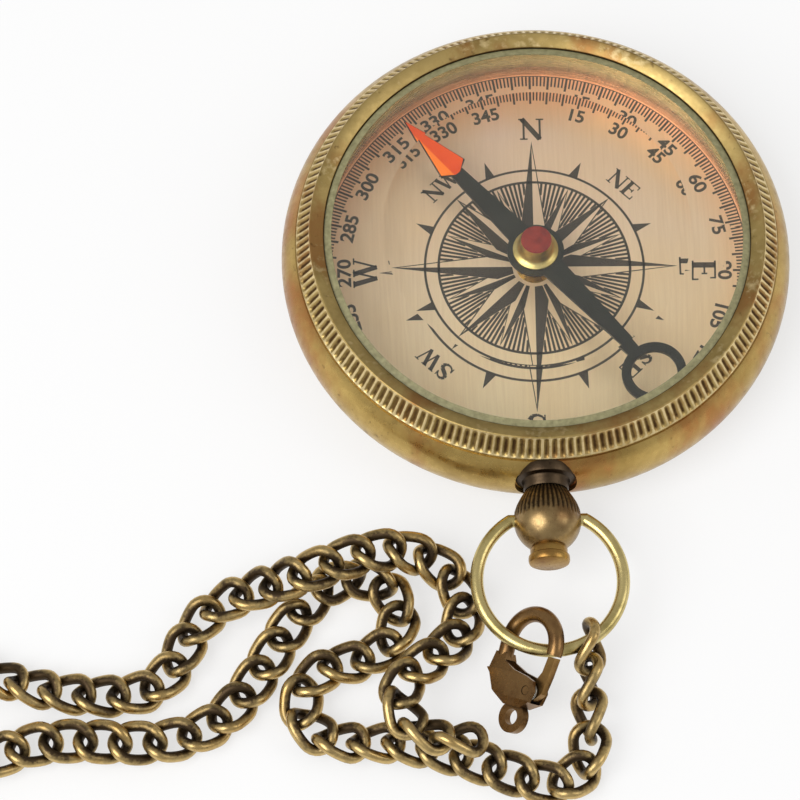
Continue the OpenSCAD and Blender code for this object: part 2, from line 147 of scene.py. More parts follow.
def old_metal(name, bright, toned, grime_and_shade, rough=(0.22, 0.42), patch=9 * mm, toned_from=0.42,
              specks=0.7, worn_and_shaded=None, hollow=0, blush=None, sway=0, wear=(0.2, 0.7),
              polished=None):
    """Toned metal rubbed bright. The mesh's own figure, where one is named, tells how rubbed
    each spot is, and on the bezel's inner lip its low figure paints shade; wear is from where
    the grime thins to where it ends, sway is how much the rubbing varies from place to place,
    hollow is how far round a spot the grime looks for walls, blush is the colour of wide
    stains, and polished that of the ridges."""
    soft_edge, speck, dent, hair = 0.22, 0.9 * mm, 2.2 * mm, 0.5 * mm
    m, surface = blank(name)
    where = place_on(m)
    cloud = spread(m, blot(m, where, patch), toned_from, toned_from + soft_edge)
    fine = blot(m, where, patch / 9, 6)
    shade = tint(m, cloud, colour(bright), colour(toned))
    if blush:
        stain = spread(m, blot(m, where, patch * 1.7, 5, (1.3, 1, 0.6)), 0.5, 0.62, (0, 0.8))
        shade = tint(m, stain, shade, colour(blush))
    shade = tint(m, spread(m, fine, 0.3, 0.75, (0, 0.35)), shade, colour(toned))
    spots = spread(m, blot(m, where, speck, 2), 0.70 - 0.06 * specks, 0.76, (0, 0.8 * specks))
    shade = tint(m, spots, shade, colour(grime_and_shade))
    dirt_and_shade = None
    if worn_and_shaded:
        wear_and_shade = lay(m, "Attribute", attribute_name=worn_and_shaded).outputs["Fac"]
        uneven = reckon(m, "ADD", wear_and_shade, spread(m, fine, 0.3, 0.7, (-0.16, 0.16)))
        if sway:
            drift = spread(m, blot(m, where, patch, 2), 0.35, 0.65, (-sway, sway))
            uneven = reckon(m, "ADD", uneven, drift)
        dirt_and_shade = spread(m, uneven, *wear, (1, 0))
        if polished:
            shade = tint(m, spread(m, uneven, 1.0, 1.3), shade, colour(polished))
    elif hollow:
        walls = lay(m, "AmbientOcclusion", {"Distance": hollow}, samples=6).outputs["AO"]
        uneven = reckon(m, "ADD", walls, spread(m, fine, 0.3, 0.7, (-0.12, 0.12)))
        dirt_and_shade = spread(m, uneven, 0.35, 0.85, (1, 0))
    gloss = spread(m, fine, 0.3, 0.7, rough)
    if dirt_and_shade:
        # a low figure also paints shade here, as on the bezel's inner lip
        shade = tint(m, dirt_and_shade, shade, colour(grime_and_shade))
        gloss = reckon(m, "ADD", gloss, spread(m, dirt_and_shade, 0, 1, (0, 0.2)))
    dents = relief(m, blot(m, where, dent, 3), 0.25, 0.05 * mm)
    scratches = relief(m, blot(m, where, hair, 3, (1, 0.08, 0.3)), 0.5, 0.01 * mm, Normal=dents)
    skin(m, surface, shade, gloss, scratches, Metallic=1)
    return m


def dress(node, material):
    """A CAD node keeps its own mesh and gets its finish."""
    mesh = frame["nodes"][node].data
    mesh.materials.clear()
    mesh.materials.append(material)


dress("case_body", old_metal("case_brass", "c8aa66", "a3854a", "59402a", rough=(0.2, 0.4),
                             patch=8 * mm, blush="a5683a"))

# -------------------------------------------------------------------- bezel
# A turned brass ring that snaps over the rim and holds the glass. Its slope
# is a coin edge of 186 notches, cut with a wheel. Dark tone has stayed in the
# notches, and the ridges between them are rubbed to bright brass. The dark line
# round its inner lip is painted shade.
notches = 186
notch_depth = 0.22 * mm
notch_half = 0.4  # half a notch's width, as a share of the pitch
notch_from, notch_to, run_out = 0.03, 0.97, 0.22  # shares of the slope
points_in_pitch = 8
# lines are radius and height in mm; the slope runs from its foot to its head
slope_foot, slope_head = (23.45, 8.3), (22.08, 10.19)
bezel_inside = [(20.72, 9.45), (21.3, 9.45), (21.3, 8.02), (23.42, 8.02), slope_foot]
slope_at = [0.03, 0.08, 0.13, 0.18, 0.24, 0.35, 0.5, 0.65, 0.76, 0.82, 0.87, 0.92, 0.97]
bezel_face = [slope_head, (22.0, 10.24), (21.9, 10.22), (20.8, 9.72), (20.7, 9.62), (20.69, 9.5)]
shaded_lip_r = 20.75  # inside this the ring turns down to the glass and is painted dark, as painted shade along the lip
rubbed_inside, rubbed_face, rubbed_ridge, rubbed_notch = 0.75, 0.95, 1.3, 0.2


def ring_mesh(name, rows, columns, shape):
    """A closed skin of rows of points round Z. shape(row, turn) gives radius, height and
    how rubbed the spot is; on the bezel's inner lip that figure is painted shade."""
    points, wear_and_shade = [], []
    for row in range(rows):
        for c in range(columns):
            turn = 2 * math.pi * c / columns
            r, z, wear = shape(row, turn)
            points.append((r * math.cos(turn), r * math.sin(turn), z))
            wear_and_shade.append(wear)
    faces = [(a * columns + c, a * columns + (c + 1) % columns,
              (a + 1) % rows * columns + (c + 1) % columns, (a + 1) % rows * columns + c)
             for a in range(rows) for c in range(columns)]
    return rubbed_mesh(name, points, faces, wear_and_shade)


def rubbed_mesh(name, points, faces, wear_and_shade):
    """A mesh that keeps how rubbed each of its points is, a figure that also carries painted
    shade on the bezel's lip.
    """
    mesh = bpy.data.meshes.new(name)
    mesh.from_pydata(points, [], faces)
    mesh.attributes.new("wear_and_shade", "FLOAT", "POINT").data.foreach_set("value", wear_and_shade)
    return mesh


def finish_piece(mesh, name, material, body, stands_for=(), crease=30):
    """Turns a mesh into a piece of the object: outward faces, smooth shading with kept
    creases, its material, the body it rides on and the CAD nodes it stands for."""
    bm = bmesh.new()
    bm.from_mesh(mesh)
    bmesh.ops.recalc_face_normals(bm, faces=bm.faces)
    bm.to_mesh(mesh)
    bm.free()
    mesh.shade_smooth()
    mesh.set_sharp_from_angle(angle=math.radians(crease))
    mesh.materials.clear()
    mesh.materials.append(material)
    piece = bpy.data.objects.new(name, mesh)
    bpy.context.scene.collection.objects.link(piece)
    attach(piece, body)
    if stands_for:
        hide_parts(*stands_for)


def bezel_shape(row, turn):
    """One point of the bezel: its inside first, then the coin edge, then its face."""
    if row < len(bezel_inside):
        return bezel_inside[row][0] * mm, bezel_inside[row][1] * mm, rubbed_inside
    row -= len(bezel_inside)
    if row >= len(slope_at):
        r, z = bezel_face[row - len(slope_at)]
        # the inner lip gets a figure of 0, so it takes the grime colour as painted shade
        return r * mm, z * mm, rubbed_face if r > shaded_lip_r else 0
    t = slope_at[row]
    run, rise = slope_foot[0] - slope_head[0], slope_head[1] - slope_foot[1]
    r, z = slope_foot[0] - run * t, slope_foot[1] + rise * t
    phase = abs((turn * notches / (2 * math.pi)) % 1 - 0.5) / notch_half
    ends = math.sin(math.pi / 2 * min(1, (t - notch_from) / run_out, (notch_to - t) / run_out))
    cut = math.cos(math.pi / 2 * min(1, phase)) * ends
    lean = math.atan2(rise, run)
    depth = cut * notch_depth
    return (r * mm - depth * math.sin(lean), z * mm - depth * math.cos(lean),
            rubbed_ridge - (rubbed_ridge - rubbed_notch) * cut)


bezel_rows = len(bezel_inside) + len(slope_at) + len(bezel_face)
bezel_brass = old_metal("bezel_brass", "bda368", "957e4a", "553e24", rough=(0.34, 0.5),
                        patch=6 * mm, toned_from=0.45, worn_and_shaded="wear_and_shade", blush="9c6a3c",
                        sway=0.12, polished="e6d09c")
finish_piece(ring_mesh("bezel_ring", bezel_rows, notches * points_in_pitch, bezel_shape),
             "bezel_ring", bezel_brass, "case", ["bezel"], crease=50)

# ------------------------------------------------------ spacer ring, gasket
# A rolled strip of copper-washed brass stands on the dial's edge and carries a
# thin olive rubber gasket. The strip is copper below and darker brown above, and
# its pale olive top band is a painted reflection.
strip, surface = blank("spacer_copper")
where = place_on(strip)
height = lay(strip, "SeparateXYZ", {"Vector": where}).outputs["Z"]
streak = blot(strip, where, 4 * mm, 4, (1, 1, 6))
height = reckon(strip, "ADD", height, spread(strip, streak, 0.3, 0.7, (-0.8 * mm, 0.8 * mm)))
shade = tint(strip, spread(strip, height, 2.0 * mm, 3.4 * mm), colour("f2b484"), colour("a8835c"))
# painted reflection: the strip's top band turns pale olive
shade = tint(strip, spread(strip, height, 3.4 * mm, 5.6 * mm), shade, colour("b5aa74"))
skin(strip, surface, shade, spread(strip, streak, 0.3, 0.7, (0.16, 0.34)),
     relief(strip, streak, 0.2, 0.05 * mm), Metallic=0.5)
dress("spacer_ring", strip)

gasket, surface = blank("gasket_rubber")
grain = blot(gasket, place_on(gasket), 0.4 * mm)
skin(gasket, surface, tint(gasket, grain, colour("4c5a48"), colour("6f7d64")), 0.6,
     relief(gasket, grain, 0.2, 0.02 * mm))
dress("crystal_gasket", gasket)

# --------------------------------------------------------------------- dial
# A thin copper plate, brushed from north to south, paler to the south and with
# a warm bloom on its northern edge.
dial, surface = blank("dial_copper")
where = place_on(dial)
north = spread(dial, lay(dial, "SeparateXYZ", {"Vector": where}).outputs["Y"], -16 * mm, 17 * mm)
brush = blot(dial, where, 0.22 * mm, 3, (1, 0.035, 1))
shade = tint(dial, north, colour("ffe2b8"), colour("e8c2b0"))
amber = spread(dial, blot(dial, where, 14 * mm, 2), 0.35, 0.7, (0, 0.5))
shade = tint(dial, amber, shade, colour("f0c594"))
from_middle = lay(dial, "VectorMath", {0: where}, operation="LENGTH").outputs["Value"]
bloom = reckon(dial, "MULTIPLY", spread(dial, from_middle, 14 * mm, 20 * mm), north)
shade = tint(dial, spread(dial, bloom, 0.2, 1, (0, 0.7)), shade, colour("f2ac78"))
shade = tint(dial, spread(dial, brush, 0.35, 0.7, (0, 0.16)), shade, colour("c69672"))
skin(dial, surface, shade, spread(dial, brush, 0.3, 0.7, (0.32, 0.44)),
     relief(dial, brush, 0.5, 0.008 * mm), Metallic=0.5)
dress("dial_plate", dial)

# --------------------------------------------------------------- dial print
# Ink is screened on the dial in one dark brown layer: the scale of degrees,
# its numbers, the rose with its hatching, and the letters of the winds.
dial_top = 1.2 * mm
ink_t = 0.012 * mm
dial_turn = math.radians(-1)  # the dial sits a degree off the pendant's line

ink, surface = blank("dial_ink")
grain = blot(ink, place_on(ink), 0.3 * mm, 3)
skin(ink, surface, tint(ink, grain, colour("35291f"), colour("483a2e")), 0.5,
     relief(ink, grain, 0.3, 0.004 * mm))


def bearing(r, degrees):
    """The point on the dial at radius r mm and that bearing, clockwise from north."""
    a = math.pi / 2 - math.radians(degrees) + dial_turn
    return (r * math.cos(a) * mm, r * math.sin(a) * mm)


def blob(bm, outline, z=dial_top, thick=ink_t):
    """A flat closed film of that outline."""
    low = [bm.verts.new((x, y, z)) for x, y in outline]
    top = [bm.verts.new((x, y, z + thick)) for x, y in outline]
    bm.faces.new(low[::-1])
    bm.faces.new(top)
    for i in range(len(low)):
        k = (i + 1) % len(low)
        bm.faces.new((low[i], low[k], top[k], top[i]))


def hoop(bm, r, width, steps=240):
    """A printed circle of that line width."""
    for i in range(steps):
        a, b = 360 * i / steps, 360 * (i + 1) / steps
        blob(bm, [bearing(r - width / 2, a), bearing(r - width / 2, b),
                  bearing(r + width / 2, b), bearing(r + width / 2, a)])


def film(bm, name, material=ink, body="case"):
    """Makes one piece of everything laid in bm."""
    mesh = bpy.data.meshes.new(name)
    bm.to_mesh(mesh)
    bm.free()
    finish_piece(mesh, name, material, body)


# The scale: a tick for each degree, a longer and bolder one for each fifth.
tick, fifth = (18.95, 0.078), (18.55, 0.105)  # inner end, and half the width
tick_out, rim_hoop = 20.15, (20.2, 0.1)
scale = bmesh.new()
for degree in range(360):
    inner, half = fifth if degree % 5 == 0 else tick
    in_half, out_half = math.degrees(half / inner), math.degrees(half / tick_out)
    blob(scale, [bearing(inner, degree - in_half), bearing(inner, degree + in_half),
                 bearing(tick_out, degree + out_half), bearing(tick_out, degree - out_half)])
hoop(scale, *rim_hoop)
film(scale, "dial_scale")

# The rose: four long points, four middling and eight short, each dark on its
# left half and bare on its right with a fine outline, and hatching between.
# A point is its tip, its shoulder, and half its angle at the shoulder.
long, middling, short = (14.2, 3.9, 20), (10.8, 4.2, 17.5), (9.4, 4.6, 9.5)
points = ([(90 * i, *long) for i in range(4)] + [(45 + 90 * i, *middling) for i in range(4)]
          + [(22.5 + 45 * i, *short) for i in range(8)])
outer_hoop, inner_hoop = (10.86, 0.24), (9.5, 0.26)
points_from = 2.2
outline_w, short_outline_w = 0.1, 0.07
hatch_n, hatch_in, hatch_out = 128, 3.0, 9.45
bare_share = 0.5  # of the pitch, at the outer end of a bare stripe
closed_at = 4  # the radius at which a bare stripe has narrowed to nothing
clear_of_point, shortest_hatch = 0.06, 0.2
spike_foot, spike_tip = 10.9, 12.7
spike_left, spike_lean, spike_right = 2.9, 0.4, 2.1  # degrees from its axis


def reach_of(point, off):
    """How far from the middle a rose point reaches at an angle off its axis."""
    _, tip, shoulder, wide = point
    if abs(off) >= wide:
        return 0
    sx, sy = shoulder * math.cos(math.radians(wide)), shoulder * math.sin(math.radians(wide))
    dx, dy = math.cos(math.radians(abs(off))), math.sin(math.radians(abs(off)))
    # the ray meets the line from the tip to the shoulder
    return tip * sy / (dy * (tip - sx) + dx * sy) if abs(off) > 0 else tip


def hatch_start(at):
    """Where the hatching begins at a bearing, just clear of any point there."""
    reach = max(reach_of(p, (at - p[0] + 180) % 360 - 180) for p in points)
    return max(reach, hatch_in) + clear_of_point


rose = bmesh.new()
hoop(rose, *outer_hoop)
hoop(rose, *inner_hoop)
for axis, tip, shoulder, wide in points:
    blob(rose, [bearing(points_from, axis), bearing(tip, axis), bearing(shoulder, axis - wide),
                bearing(points_from, axis - wide)][::-1])
    fine = outline_w if tip > inner_hoop[0] else short_outline_w
    slim = math.degrees(fine / shoulder)
    edge = axis + wide
    blob(rose, [bearing(tip, axis), bearing(tip - 6 * fine, axis),
                bearing(shoulder, edge - slim), bearing(shoulder + fine, edge)])
    blob(rose, [bearing(shoulder + fine, edge), bearing(shoulder - fine, edge - slim),
                bearing(points_from, edge - 2 * slim), bearing(points_from, edge)])
for step in range(hatch_n):
    # a bare stripe lies between two dark ones, and narrows to nothing inwards
    at, half = 360 * (step + 0.5) / hatch_n, 180 / hatch_n
    dark = half * (1 - bare_share)
    for lean in (-1, 1):
        edge = at + lean * half
        inner = min(hatch_start(edge), hatch_out)
        if inner < hatch_out - shortest_hatch:
            share = bare_share * max(0, (inner - closed_at) / (hatch_out - closed_at))
            tip = edge - lean * half * (1 - share)
            reach = min(max(inner, hatch_start(tip)), hatch_out)
            stripe = [bearing(inner, edge), bearing(hatch_out, edge),
                      bearing(hatch_out, edge - lean * dark), bearing(reach, tip)]
            blob(rose, stripe if lean > 0 else stripe[::-1])
for i in range(8):
    at = 22.5 + 45 * i
    blob(rose, [bearing(spike_foot, at - spike_left), bearing(spike_tip, at + spike_lean),
                bearing(spike_foot, at + spike_right)][::-1])
film(rose, "dial_rose")

# Letters of the winds, cut as a sign writer cuts roman capitals: thick and
# thin strokes with slab ends. Each stroke is points with the width at each.
strokes = {
    "N": [[(0.16, 0, 0.07), (0.16, 1, 0.07)], [(0.08, 1, 0.17), (0.84, 0.02, 0.17)],
          [(0.84, 0, 0.07), (0.84, 1, 0.07)], [(0, 0.025, 0.05), (0.32, 0.025, 0.05)],
          [(-0.06, 0.975, 0.05), (0.2, 0.975, 0.05)], [(0.68, 0.975, 0.05), (1, 0.975, 0.05)]],
    "E": [[(0.22, 0, 0.17), (0.22, 1, 0.17)], [(0.04, 0.97, 0.06), (0.78, 0.97, 0.06)],
          [(0.76, 1, 0.05), (0.76, 0.76, 0.05)], [(0.22, 0.52, 0.06), (0.58, 0.52, 0.06)],
          [(0.58, 0.64, 0.05), (0.58, 0.4, 0.05)], [(0.04, 0.03, 0.06), (0.84, 0.03, 0.06)],
          [(0.82, 0, 0.05), (0.82, 0.27, 0.05)]],
    "S": [[(0.66, 0.68, 0.03), (0.62, 0.85, 0.07), (0.46, 0.96, 0.08), (0.27, 0.93, 0.12),
           (0.17, 0.78, 0.15), (0.24, 0.63, 0.17), (0.43, 0.52, 0.18), (0.62, 0.41, 0.17),
           (0.7, 0.25, 0.16), (0.6, 0.08, 0.12), (0.4, 0.03, 0.08), (0.2, 0.12, 0.07),
           (0.14, 0.32, 0.03)], [(0.68, 0.66, 0.05), (0.68, 0.97, 0.04)],
          [(0.12, 0.03, 0.04), (0.12, 0.34, 0.05)]],
    "W": [[(0.1, 1, 0.16), (0.38, 0, 0.14)], [(0.38, 0, 0.06), (0.62, 0.98, 0.06)],
          [(0.54, 1, 0.16), (0.84, 0, 0.14)], [(0.84, 0, 0.06), (1.1, 0.98, 0.06)],
          [(-0.04, 0.975, 0.05), (0.26, 0.975, 0.05)],
          [(0.42, 0.975, 0.05), (0.74, 0.975, 0.05)],
          [(0.96, 0.975, 0.05), (1.22, 0.975, 0.05)]],
}
bold = 1.3
letter_width = {"N": 0.94, "E": 0.88, "S": 0.82, "W": 1.18}
letter_gap = 0.08
chief_r, chief_tall, minor_r, minor_tall = 15.6, 2.4, 13.0, 1.75


def write(bm, word, at, r, tall):
    """Letters on the dial at a bearing, their feet towards the middle."""
    wide = sum(letter_width[c] for c in word) + letter_gap * (len(word) - 1)
    a = -math.radians(at) + dial_turn
    x0 = -wide / 2
    for c in word:
        for stroke in strokes[c]:
            for (ax, ay, aw), (bx, by, bw) in zip(stroke, stroke[1:]):
                start, end = Vector((ax, ay)), Vector((bx, by))
                along = (end - start).normalized()
                side = Vector((-along.y, along.x))
                out, back = side * aw * bold / 2, side * bw * bold / 2
                placed = []
                for p in (start + out, end + back, end - back, start - out):
                    x, y = (x0 + p.x) * tall, r + (p.y - 0.5) * tall
                    placed.append(((x * math.cos(a) - y * math.sin(a)) * mm,
                                   (x * math.sin(a) + y * math.cos(a)) * mm))
                blob(bm, placed)
        x0 += letter_width[c] + letter_gap


winds = bmesh.new()
for word, at in (("N", 0), ("E", 90), ("S", 180), ("W", 270)):
    write(winds, word, at, chief_r, chief_tall)
for word, at in (("NE", 45), ("SE", 135), ("SW", 225), ("NW", 315)):
    write(winds, word, at, minor_r, minor_tall)
film(winds, "dial_letters")

# Numbers stand at every fifteen degrees, their feet towards the middle.
number_r, number_tall, number_bold = 17.65, 1.9 * mm, 0.05 * mm
for at in range(15, 360, 15):
    line = bpy.data.curves.new("dial_number", "FONT")
    line.body = str(at)
    line.size = number_tall
    line.align_x, line.align_y = "CENTER", "CENTER"
    line.extrude = ink_t / 2
    line.offset = number_bold
    words = bpy.data.objects.new("dial_number", line)
    bpy.context.scene.collection.objects.link(words)
    x, y = bearing(number_r, at)
    words.matrix_world = (Matrix.Translation((x, y, dial_top + ink_t / 2))
                          @ Matrix.Rotation(-math.radians(at) + dial_turn, 4, "Z"))
    bpy.context.view_layer.update()
    shaped = words.evaluated_get(bpy.context.evaluated_depsgraph_get())
    number = bpy.data.meshes.new_from_object(shaped)
    number.transform(words.matrix_world)
    bpy.data.objects.remove(words)
    finish_piece(number, f"dial_number_{at:03d}", ink, "case")

# ------------------------------------------------------------------- needle
# The needle turns on a steel point that stands in a small brass boss. It is a
# blackened steel strip with a ring on its tail, and its arrow is dipped in
# orange enamel. One side of the arrow's middle line is a painted highlight in
# lighter orange.
dress("pivot_base", old_metal("boss_brass", "d8b868", "b08d4c", "5a4426", rough=(0.2, 0.35)))
dress("pivot_pin", old_metal("pin_steel", "c8c8c6", "9a9a98", "50504e", rough=(0.15, 0.3)))
dress("needle_blade", old_metal("needle_black", "4e4a42", "403d37", "2a2724",
                                rough=(0.35, 0.5), specks=0.2))

needle_angle = math.radians(130)
needle_top = 4.85 * mm
enamel_t = 0.05 * mm
tip_r, arrow_l, arrow_w = 18.7, 7.4, 3.1
bare_tip, bare_side = 0.15, 0.1  # how far the enamel stays from the edges
barb_in, neck_in, neck_half = 1.0, 0.15, 0.28


def on_needle(x, y):
    """A point of the needle drawn with its tip to +X, at its resting bearing."""
    return ((x * math.cos(needle_angle) - y * math.sin(needle_angle)) * mm,
            (x * math.sin(needle_angle) + y * math.cos(needle_angle)) * mm)


enamel, surface = blank("arrow_enamel")
where = place_on(enamel)
mottle = blot(enamel, where, 2.5 * mm, 3)
turned_back = lay(enamel, "Mapping", {"Vector": where, "Rotation": (0, 0, -needle_angle)})
across = lay(enamel, "SeparateXYZ", {"Vector": turned_back.outputs["Vector"]}).outputs["Y"]
shade = tint(enamel, spread(enamel, mottle, 0.35, 0.65), colour("e84e0a"), colour("de4404"))
# painted highlight: one side of the arrow's middle line is a lighter orange
shade = tint(enamel, spread(enamel, across, 0.35 * mm, 0.5 * mm), shade, colour("fb761a"))
skin(enamel, surface, shade, 0.5, relief(enamel, mottle, 0.3, 0.03 * mm),
     **{"Specular IOR Level": 0.25})

arrow = bmesh.new()
head = tip_r - arrow_l
outline = [(tip_r - bare_tip, 0), (head + barb_in, arrow_w / 2 - bare_side),
           (head + neck_in, neck_half), (head + neck_in, -neck_half),
           (head + barb_in, -arrow_w / 2 + bare_side)]
blob(arrow, [on_needle(x, y) for x, y in outline], needle_top, enamel_t)
film(arrow, "arrow_enamel", enamel, "needle")

# -------------------------------------------------------------- hub, jewel
# A turned brass cup is pressed through the needle's middle, with a flange
# below and a rolled lip on top that holds a dark red jewel.
hub_line = [(1.56, 4.86), (2.2, 4.87), (2.25, 4.95), (2.22, 5.08), (2.05, 5.16), (1.85, 5.24),
            (1.66, 5.45), (1.56, 5.8), (1.52, 6.2), (1.54, 6.6), (1.55, 6.95), (1.5, 7.05),
            (1.42, 7.06), (1.36, 7.0), (1.34, 6.8), (0.85, 6.7), (0.8, 4.9), (0.8, 4.1),
            (1.45, 4.08), (1.49, 4.2), (1.49, 4.8)]
jewel_line = [(0.02, 6.82), (1.35, 6.82), (1.4, 6.9), (1.4, 7.05), (1.5, 7.07), (1.48, 7.1),
              (1.3, 7.12), (1.0, 7.13), (0.5, 7.14), (0.02, 7.14)]


def turned(name, line, columns=96):
    """A piece turned on a lathe to a line of radius and height in mm."""
    return ring_mesh(name, len(line), columns,
                     lambda row, turn: (line[row][0] * mm, line[row][1] * mm, 1))


hub_brass = old_metal("hub_brass", "e2c886", "c0a05a", "6e5428", rough=(0.28, 0.42),
                      patch=2 * mm, specks=0.4)
finish_piece(turned("needle_cup", hub_line), "needle_cup", hub_brass, "needle",
             ["needle_hub"], crease=40)

jewel, surface = blank("jewel_red")
cloud = blot(jewel, place_on(jewel), 1.1 * mm, 4)
shade = tint(jewel, spread(jewel, cloud, 0.35, 0.65), colour("70201a"), colour("943428"))
skin(jewel, surface, shade, spread(jewel, cloud, 0.3, 0.7, (0.4, 0.55)),
     relief(jewel, cloud, 0.4, 0.04 * mm), **{"Specular IOR Level": 0.2})
finish_piece(turned("jewel_stone", jewel_line, 64), "jewel_stone", jewel, "needle",
             ["hub_jewel"])

# ------------------------------------------------------------------ crystal
# A pressed glass with a broad bevel round a flat middle. Its edge is ground,
# and shows as a pale olive line inside the bezel.
glass, surface = blank("crystal_glass")
smear = blot(glass, place_on(glass), 6 * mm, 3)
clear = lay(glass, "BsdfPrincipled", {
    "Base Color": colour("fbfffc"), "Transmission Weight": 1, "IOR": 1.5,
    "Roughness": spread(glass, smear, 0.45, 0.75, (0.0, 0.02))})
# light that only casts shadows goes straight through
let_by = lay(glass, "BsdfTransparent", {"Color": colour("f6faf6")})
through = lay(glass, "MixShader", {0: lay(glass, "LightPath").outputs["Is Shadow Ray"],
                                   1: clear.outputs["BSDF"], 2: let_by.outputs["BSDF"]})
glass.node_tree.links.new(through.outputs["Shader"], surface)
dress("crystal", glass)

ground, surface = blank("ground_glass")
grain = blot(ground, place_on(ground), 0.5 * mm)
shade = tint(ground, spread(ground, grain, 0.3, 0.7), colour("7c7754"), colour("a29c74"))
skin(ground, surface, shade, 0.3, relief(ground, grain, 0.3, 0.02 * mm), IOR=1.45)
edge_line = [(20.66, 9.41), (20.66, 9.45), (19.98, 9.63), (19.96, 9.6)]
finish_piece(turned("glass_edge", edge_line, 256), "glass_edge", ground, "case")

# ------------------------------------------------------------------ pendant
# Neck, ball and button are turned bronze, toned nearly black in their
# corners. The neck's near-black brown is partly its toning and partly painted
# shade, where it sits behind the ball against the case. The ball's upper half is
# fluted and drawn up to the neck, and its lower half is rubbed smooth by the bow.
# painted shade: the neck and stem bronze is set near black, darker than its toning alone
pendant_bronze = old_metal("pendant_bronze", "544534", "3c3024", "241d16", rough=(0.3, 0.45),
                           patch=3 * mm, toned_from=0.4, hollow=1.4 * mm)
button_bronze = old_metal("button_bronze", "b08c4c", "8d6636", "4a3820", rough=(0.25, 0.4),
                          patch=3 * mm, hollow=0.8 * mm)
dress("pendant_stem", pendant_bronze)

ball_y, ball_z, ball_r = -28.5, 5.5, 3.2
ball_rows, ball_top = 52, 3.05
flutes, flute_depth, points_in_flute = 40, 0.15, 10
shoulder_at = (0, 0.8, 1.5, 2.2, 2.8, ball_top)
shoulder_r = (3.2, 3.12, 2.88, 2.5, 2.12, 1.9)
pole_r, thinnest = 0.05, 0.01
flutes_from, flutes_grow = -0.1, 0.5  # heights over the ball's middle, in mm
tone_from, tone_grow = -0.6, 1.2
top_tone, flute_tone = 0.5, 0.4


def ball_shape(row, turn):
    """Round below, drawn up to a blunt cone above, where the flutes are."""
    if row in (0, ball_rows - 1):
        return pole_r * mm, (-ball_r + thinnest if row == 0 else ball_top) * mm, 0.5
    t = (row - 1) / (ball_rows - 3)
    u = -ball_r * math.cos(math.pi * t) if t < 0.5 else ball_top * (2 * t - 1)
    if u < 0:
        r = math.sqrt(max(thinnest, ball_r ** 2 - u * u))
    else:
        r = float(np.interp(u, shoulder_at, shoulder_r))
    fluted = min(1, max(0, (u - flutes_from) / flutes_grow))
    depth = flute_depth * fluted * abs(math.cos(flutes / 2 * turn)) ** 3
    toned = top_tone * min(1, max(0, (u - tone_from) / tone_grow))
    return (r - depth) * mm, u * mm, 1 - toned - flute_tone * depth / flute_depth


def on_pendant(mesh, y=0):
    """Lays a mesh turned round Z along the pendant, its foot at y mm, facing the case."""
    mesh.transform(Matrix.Translation((0, y * mm, ball_z * mm))
                   @ Matrix.Rotation(math.radians(-90), 4, "X"))
    return mesh


ball = ring_mesh("pendant_knob", ball_rows, flutes * points_in_flute, ball_shape)
ball_bronze = old_metal("ball_bronze", "a68c60", "7a5f3e", "3a2d1e", rough=(0.24, 0.4),
                        patch=3 * mm, toned_from=0.42, worn_and_shaded="wear_and_shade", sway=0.1)
finish_piece(on_pendant(ball, ball_y), "pendant_knob", ball_bronze, "case",
             ["pendant_ball"], crease=60)

neck_line = [(1.2, -23.5), (2.88, -23.5), (2.88, -24.25), (2.8, -24.4), (2.3, -24.55),
             (2.14, -24.8), (2.16, -25.3), (2.05, -25.5), (1.2, -25.5)]
finish_piece(on_pendant(turned("pendant_neck", neck_line)), "pendant_neck", pendant_bronze,
             "case", ["pendant_collar"], crease=40)
cap_line = [(0.05, -31.2), (1.6, -31.2), (1.76, -31.4), (1.76, -32.02), (1.84, -32.08),
            (1.93, -32.16), (1.95, -32.3), (1.95, -32.62), (1.87, -32.82), (1.65, -32.93),
            (0.05, -32.95)]
finish_piece(on_pendant(turned("pendant_cap", cap_line)), "pendant_cap", button_bronze, "case",
             ["pendant_button"], crease=40)

# ---------------------------------------------------------------------- bow
# A ring of brass wire, sprung into the ball. It is the brightest metal here,
# polished by the chain and the fingers, with brown in its shallow dents.
dress("bow_ring", old_metal("bow_gold", "dcc88a", "a8975c", "6a5228", rough=(0.2, 0.36),
                            patch=3.5 * mm, toned_from=0.48, specks=0.5))

# -------------------------------------------------------------------- chain
# Sixty-four links of brass wire, each a long loop with a quarter twist, closed
# and soldered. The chain was toned dark and then tumbled, so only the outer
# faces of the links are golden.
wire_r = 0.52
link_l, link_w, link_twist = 4.63, 3.14, math.pi / 2  # along the wire's middle
link_rings, wire_sides = 44, 14
half_steps, bend_steps = 8, 5
faces_in_link = 192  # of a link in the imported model


def link_line(s):
    """The middle of a link's wire, a share s of the way round it: each half is a bend
    and then a straight, twisted about the link's length."""
    j = s * 2 * half_steps
    side, j = (1, j) if s < 0.5 else (-1, j - half_steps)
    straight = (link_l - link_w) / 2
    if j <= bend_steps:
        a = math.radians(-90 + 180 / bend_steps * j)
        x, y = straight + link_w / 2 * math.cos(a), link_w / 2 * math.sin(a)
    else:
        x = straight * (1 - 2 * (j - bend_steps) / (half_steps - bend_steps))
        y = link_w / 2
    t = link_twist * side * x / link_l
    return Vector((side * x, side * y * math.cos(t), side * y * math.sin(t)))


link_points, link_rubbed, link_faces = [], [], []
for i in range(link_rings):
    s, after = i / link_rings, (i + 1) % link_rings
    p = link_line(s)
    along = (link_line((s + 0.004) % 1) - link_line((s - 0.004) % 1)).normalized()
    out = (p - along * p.dot(along)).normalized()
    up = along.cross(out)
    for k in range(wire_sides):
        a, beside = 2 * math.pi * k / wire_sides, (k + 1) % wire_sides
        link_points.append(p + wire_r * (math.cos(a) * out + math.sin(a) * up))
        link_rubbed.append(0.5 + 0.5 * math.cos(a))
        link_faces.append((i * wire_sides + k, after * wire_sides + k,
                           after * wire_sides + beside, i * wire_sides + beside))
link_points = np.array(link_points)

